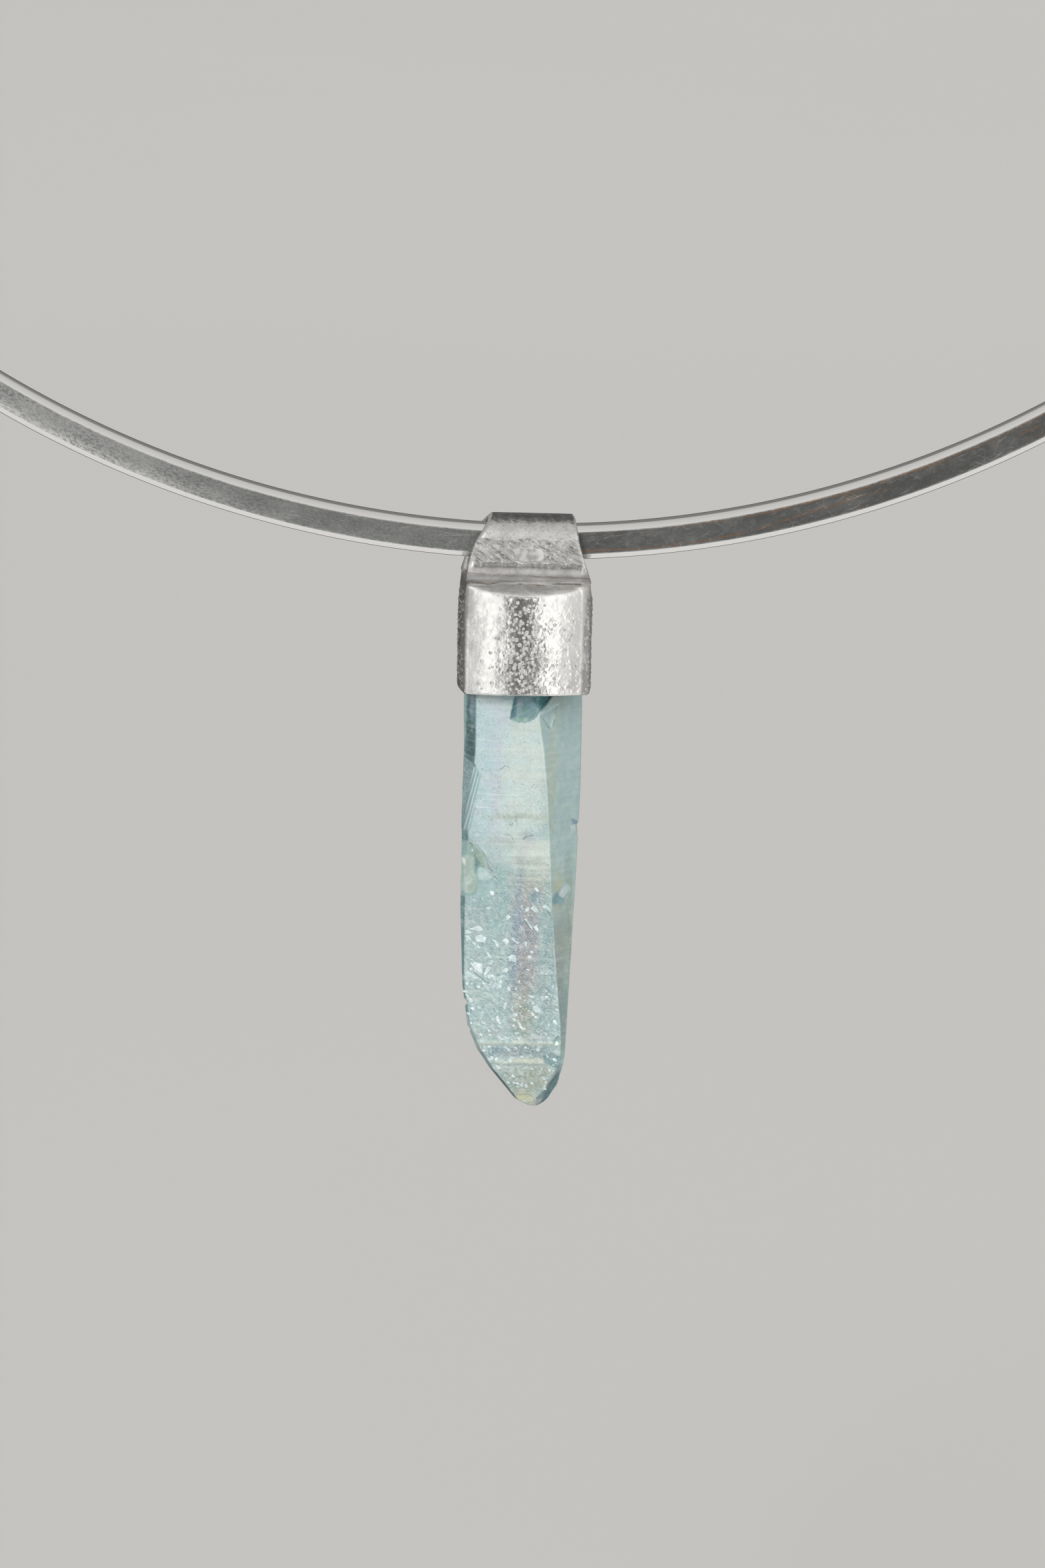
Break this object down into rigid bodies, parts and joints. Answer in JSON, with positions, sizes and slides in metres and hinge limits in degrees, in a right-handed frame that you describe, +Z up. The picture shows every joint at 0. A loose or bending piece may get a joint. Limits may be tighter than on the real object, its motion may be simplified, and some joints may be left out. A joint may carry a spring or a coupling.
{
  "type": "crystal point pendant on a rigid neck ring",
  "caption": "Aqua crystal point in a textured silver cap, swinging from a folded bail on a plain rigid silver neck ring.",
  "frame": {"origin": "the point inside the back of the neck ring, at the clasp's inner face, where the ring hangs or lies on the nape", "axes": "+Z up, with the ring upright and the pendant hanging at its lowest point; the pendant's front faces -Y and +X is to the right as seen from the front"},
  "size_m": [0.1342, 0.0066, 0.1699],
  "materials": {
    "band_silver": "worn satin silver with fine scratches and tarnish",
    "cap_silver": "bright reticulated silver, pitted and beaded",
    "aqua_quartz": "clouded pale aqua crystal with a faint rainbow sheen"
  },
  "bodies": {
    "collar": {"neck_ring": "band_silver", "nape_clasp": "band_silver"},
    "pendant": {"bail_cap": "cap_silver", "crystal_point": "aqua_quartz"}
  },
  "joints": [
    {"name": "pendant_swing", "type": "hinge", "parent": "collar", "child": "pendant", "pos_m": [0, 0, -0.13048], "axis": [1, 0, 0], "range_deg": [-90, 90]}
  ]
}
